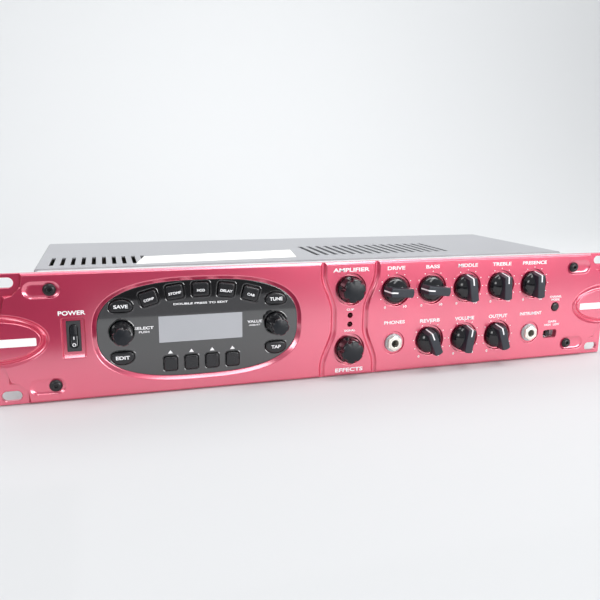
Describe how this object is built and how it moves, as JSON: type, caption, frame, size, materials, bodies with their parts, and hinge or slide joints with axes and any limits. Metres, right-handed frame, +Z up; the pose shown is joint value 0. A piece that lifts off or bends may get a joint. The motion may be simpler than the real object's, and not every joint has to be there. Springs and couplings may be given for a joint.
{
  "type": "rack effects unit",
  "caption": "Rack-mount effects processor with a red front panel, oval display window, keys, tone knobs, selector knobs, jacks and switches on a steel case.",
  "frame": {"origin": "middle of the rack-hole pattern, on the back of the ears, where the panel meets the rack's rails", "axes": "+X right as seen from the front, +Y from the front into the case, +Z up"},
  "size_m": [0.4826, 0.189, 0.0885],
  "materials": {
    "panel_red": "satin red anodised",
    "bright_steel": "bright plated",
    "zinc_steel": "zinc plated",
    "cover_grey": "fine textured grey paint",
    "black_steel": "black oxide",
    "rubber": "matte",
    "lens_black": "high gloss",
    "lcd_glass": "clear",
    "lcd_frame": "satin",
    "board_green": "solder resist",
    "board_brown": "bare laminate",
    "chip_black": "moulded",
    "winding": "wound tape",
    "control_metal": "pressed",
    "bright_nickel": "nickel plated",
    "satin_black": "satin",
    "led_red": "tinted, unlit",
    "switch_black": "satin",
    "socket_metal": "plated",
    "ribbon_grey": "flat ribbon",
    "spacer_brass": "turned",
    "knob_black": "gloss",
    "key_black": "gloss"
  },
  "bodies": {
    "chassis": {"front_panel": "panel_red", "front_frame": "bright_steel", "chassis_tray": "zinc_steel", "top_cover": "cover_grey", "cover_screws": "black_steel", "panel_screws": "black_steel", "rubber_feet": "rubber", "bezel_lens": "lens_black", "lcd_window": "lcd_glass", "lcd_module": "lcd_frame", "display_board": "board_green", "control_board": "board_green", "main_board": "board_green", "board_parts": "chip_black", "power_board": "board_brown", "transformer": "winding", "encoder_bodies": "control_metal", "pot_bodies": "control_metal", "control_nuts": "bright_nickel", "tact_switches": "satin_black", "jack_sockets": "satin_black", "jack_nuts": "bright_nickel", "indicator_leds": "led_red", "power_switch_housing": "switch_black", "slide_switch_housing": "control_metal", "iec_inlet": "switch_black", "xlr_outputs": "socket_metal", "rear_jacks": "satin_black", "rear_panel": "zinc_steel", "data_sockets": "socket_metal", "ribbon_cables": "ribbon_grey", "standoffs": "spacer_brass"},
    "drive_knob": {"drive_knob": "knob_black"},
    "bass_knob": {"bass_knob": "knob_black"},
    "middle_knob": {"middle_knob": "knob_black"},
    "treble_knob": {"treble_knob": "knob_black"},
    "presence_knob": {"presence_knob": "knob_black"},
    "reverb_knob": {"reverb_knob": "knob_black"},
    "volume_knob": {"volume_knob": "knob_black"},
    "output_knob": {"output_knob": "knob_black"},
    "model_knob": {"model_knob": "knob_black"},
    "effects_knob": {"effects_knob": "knob_black"},
    "select_knob": {"select_knob": "knob_black"},
    "value_knob": {"value_knob": "knob_black"},
    "save_button": {"save_button": "key_black"},
    "edit_button": {"edit_button": "key_black"},
    "tune_button": {"tune_button": "key_black"},
    "tap_button": {"tap_button": "key_black"},
    "comp_button": {"comp_button": "key_black"},
    "stomp_button": {"stomp_button": "key_black"},
    "mod_button": {"mod_button": "key_black"},
    "delay_button": {"delay_button": "key_black"},
    "cab_button": {"cab_button": "key_black"},
    "soft_key_1": {"soft_key_1": "key_black"},
    "soft_key_2": {"soft_key_2": "key_black"},
    "soft_key_3": {"soft_key_3": "key_black"},
    "soft_key_4": {"soft_key_4": "key_black"},
    "mode_button": {"mode_button": "key_black"},
    "power_rocker": {"power_rocker": "switch_black"},
    "gain_slider": {"gain_slider": "satin_black"}
  },
  "joints": [
    {"name": "drive_turn", "type": "hinge", "parent": "chassis", "child": "drive_knob", "pos_m": [0.042, -0.01, 0.0207], "axis": [0, 1, 0], "range_deg": [-64, 236]},
    {"name": "bass_turn", "type": "hinge", "parent": "chassis", "child": "bass_knob", "pos_m": [0.073, -0.01, 0.0207], "axis": [0, 1, 0], "range_deg": [-66, 234]},
    {"name": "middle_turn", "type": "hinge", "parent": "chassis", "child": "middle_knob", "pos_m": [0.104, -0.01, 0.0207], "axis": [0, 1, 0], "range_deg": [-140, 160]},
    {"name": "treble_turn", "type": "hinge", "parent": "chassis", "child": "treble_knob", "pos_m": [0.135, -0.01, 0.0207], "axis": [0, 1, 0], "range_deg": [-146, 154]},
    {"name": "presence_turn", "type": "hinge", "parent": "chassis", "child": "presence_knob", "pos_m": [0.166, -0.01, 0.0207], "axis": [0, 1, 0], "range_deg": [-146, 154]},
    {"name": "reverb_turn", "type": "hinge", "parent": "chassis", "child": "reverb_knob", "pos_m": [0.073, -0.01, -0.0207], "axis": [0, 1, 0], "range_deg": [-126, 174]},
    {"name": "volume_turn", "type": "hinge", "parent": "chassis", "child": "volume_knob", "pos_m": [0.104, -0.01, -0.0207], "axis": [0, 1, 0], "range_deg": [-158, 142]},
    {"name": "output_turn", "type": "hinge", "parent": "chassis", "child": "output_knob", "pos_m": [0.135, -0.01, -0.0207], "axis": [0, 1, 0], "range_deg": [-132, 168]},
    {"name": "model_turn", "type": "hinge", "parent": "chassis", "child": "model_knob", "pos_m": [0.005, -0.01, 0.0233], "axis": [0, 1, 0], "continuous": true},
    {"name": "effects_turn", "type": "hinge", "parent": "chassis", "child": "effects_knob", "pos_m": [0.005, -0.01, -0.0233], "axis": [0, 1, 0], "continuous": true},
    {"name": "select_turn", "type": "hinge", "parent": "chassis", "child": "select_knob", "pos_m": [-0.161, -0.01, 0.001], "axis": [0, 1, 0], "continuous": true},
    {"name": "value_turn", "type": "hinge", "parent": "chassis", "child": "value_knob", "pos_m": [-0.0526, -0.01, 0.001], "axis": [0, 1, 0], "continuous": true},
    {"name": "save_button_press", "type": "slide", "parent": "chassis", "child": "save_button", "axis": [0, 1, 0], "range_m": [0, 0.0006], "stiffness_N_per_m": 1000, "springref_m": -0.0006},
    {"name": "edit_button_press", "type": "slide", "parent": "chassis", "child": "edit_button", "axis": [0, 1, 0], "range_m": [0, 0.0006], "stiffness_N_per_m": 1000, "springref_m": -0.0006},
    {"name": "tune_button_press", "type": "slide", "parent": "chassis", "child": "tune_button", "axis": [0, 1, 0], "range_m": [0, 0.0006], "stiffness_N_per_m": 1000, "springref_m": -0.0006},
    {"name": "tap_button_press", "type": "slide", "parent": "chassis", "child": "tap_button", "axis": [0, 1, 0], "range_m": [0, 0.0006], "stiffness_N_per_m": 1000, "springref_m": -0.0006},
    {"name": "comp_button_press", "type": "slide", "parent": "chassis", "child": "comp_button", "axis": [0, 1, 0], "range_m": [0, 0.0006], "stiffness_N_per_m": 1000, "springref_m": -0.0006},
    {"name": "stomp_button_press", "type": "slide", "parent": "chassis", "child": "stomp_button", "axis": [0, 1, 0], "range_m": [0, 0.0006], "stiffness_N_per_m": 1000, "springref_m": -0.0006},
    {"name": "mod_button_press", "type": "slide", "parent": "chassis", "child": "mod_button", "axis": [0, 1, 0], "range_m": [0, 0.0006], "stiffness_N_per_m": 1000, "springref_m": -0.0006},
    {"name": "delay_button_press", "type": "slide", "parent": "chassis", "child": "delay_button", "axis": [0, 1, 0], "range_m": [0, 0.0006], "stiffness_N_per_m": 1000, "springref_m": -0.0006},
    {"name": "cab_button_press", "type": "slide", "parent": "chassis", "child": "cab_button", "axis": [0, 1, 0], "range_m": [0, 0.0006], "stiffness_N_per_m": 1000, "springref_m": -0.0006},
    {"name": "soft_key_1_press", "type": "slide", "parent": "chassis", "child": "soft_key_1", "axis": [0, 1, 0], "range_m": [0, 0.0006], "stiffness_N_per_m": 1000, "springref_m": -0.0006},
    {"name": "soft_key_2_press", "type": "slide", "parent": "chassis", "child": "soft_key_2", "axis": [0, 1, 0], "range_m": [0, 0.0006], "stiffness_N_per_m": 1000, "springref_m": -0.0006},
    {"name": "soft_key_3_press", "type": "slide", "parent": "chassis", "child": "soft_key_3", "axis": [0, 1, 0], "range_m": [0, 0.0006], "stiffness_N_per_m": 1000, "springref_m": -0.0006},
    {"name": "soft_key_4_press", "type": "slide", "parent": "chassis", "child": "soft_key_4", "axis": [0, 1, 0], "range_m": [0, 0.0006], "stiffness_N_per_m": 1000, "springref_m": -0.0006},
    {"name": "mode_button_press", "type": "slide", "parent": "chassis", "child": "mode_button", "axis": [0, 1, 0], "range_m": [0, 0.0006], "stiffness_N_per_m": 1000, "springref_m": -0.0006},
    {"name": "power_rock", "type": "hinge", "parent": "chassis", "child": "power_rocker", "pos_m": [-0.1918, -0.0016, 0.0003], "axis": [1, 0, 0], "range_deg": [0, 14]},
    {"name": "gain_slide", "type": "slide", "parent": "chassis", "child": "gain_slider", "axis": [1, 0, 0], "range_m": [0, 0.004]}
  ]
}
